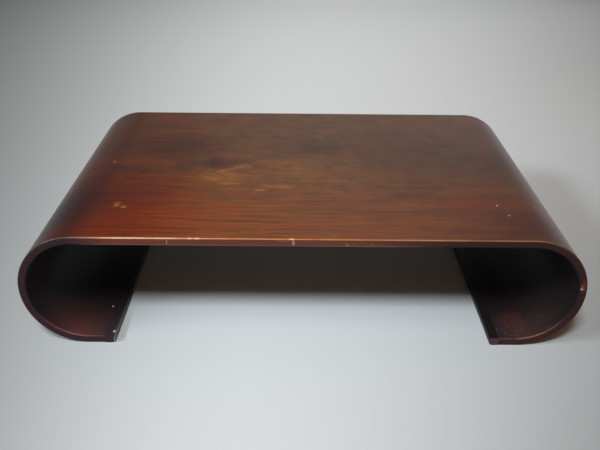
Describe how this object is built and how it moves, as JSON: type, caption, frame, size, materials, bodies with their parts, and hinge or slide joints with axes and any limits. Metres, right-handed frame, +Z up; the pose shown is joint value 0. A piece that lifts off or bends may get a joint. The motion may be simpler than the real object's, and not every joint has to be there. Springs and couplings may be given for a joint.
{
  "type": "bonsai display table",
  "caption": "Low lacquered wooden display table with a thin flat top whose ends curl under in a scroll and return as flat feet, for showing a bonsai.",
  "frame": {"origin": "on the floor below the middle of the top", "axes": "+X along the length, +Y from the front edge to the rear edge, +Z up"},
  "size_m": [0.485, 0.32, 0.105],
  "materials": {
    "lacquered_wood": "red-brown stain under semi-gloss lacquer",
    "core_wood": "bare, glued inside the wall"
  },
  "bodies": {
    "root": {"front_left_lower_scroll_lipping": "lacquered_wood", "front_left_top_lipping": "lacquered_wood", "front_left_upper_scroll_lipping": "lacquered_wood", "front_right_lower_scroll_lipping": "lacquered_wood", "front_right_top_lipping": "lacquered_wood", "front_right_upper_scroll_lipping": "lacquered_wood", "inner_veneer": "lacquered_wood", "left_foot_nosing": "lacquered_wood", "left_scroll_lamina_inner": "core_wood", "left_scroll_lamina_middle": "core_wood", "left_scroll_lamina_outer": "core_wood", "left_splice_tongue": "core_wood", "outer_veneer": "lacquered_wood", "rear_left_lower_scroll_lipping": "lacquered_wood", "rear_left_top_lipping": "lacquered_wood", "rear_left_upper_scroll_lipping": "lacquered_wood", "rear_right_lower_scroll_lipping": "lacquered_wood", "rear_right_top_lipping": "lacquered_wood", "rear_right_upper_scroll_lipping": "lacquered_wood", "right_foot_nosing": "lacquered_wood", "right_scroll_lamina_inner": "core_wood", "right_scroll_lamina_middle": "core_wood", "right_scroll_lamina_outer": "core_wood", "right_splice_tongue": "core_wood", "top_core": "core_wood"}
  },
  "joints": []
}
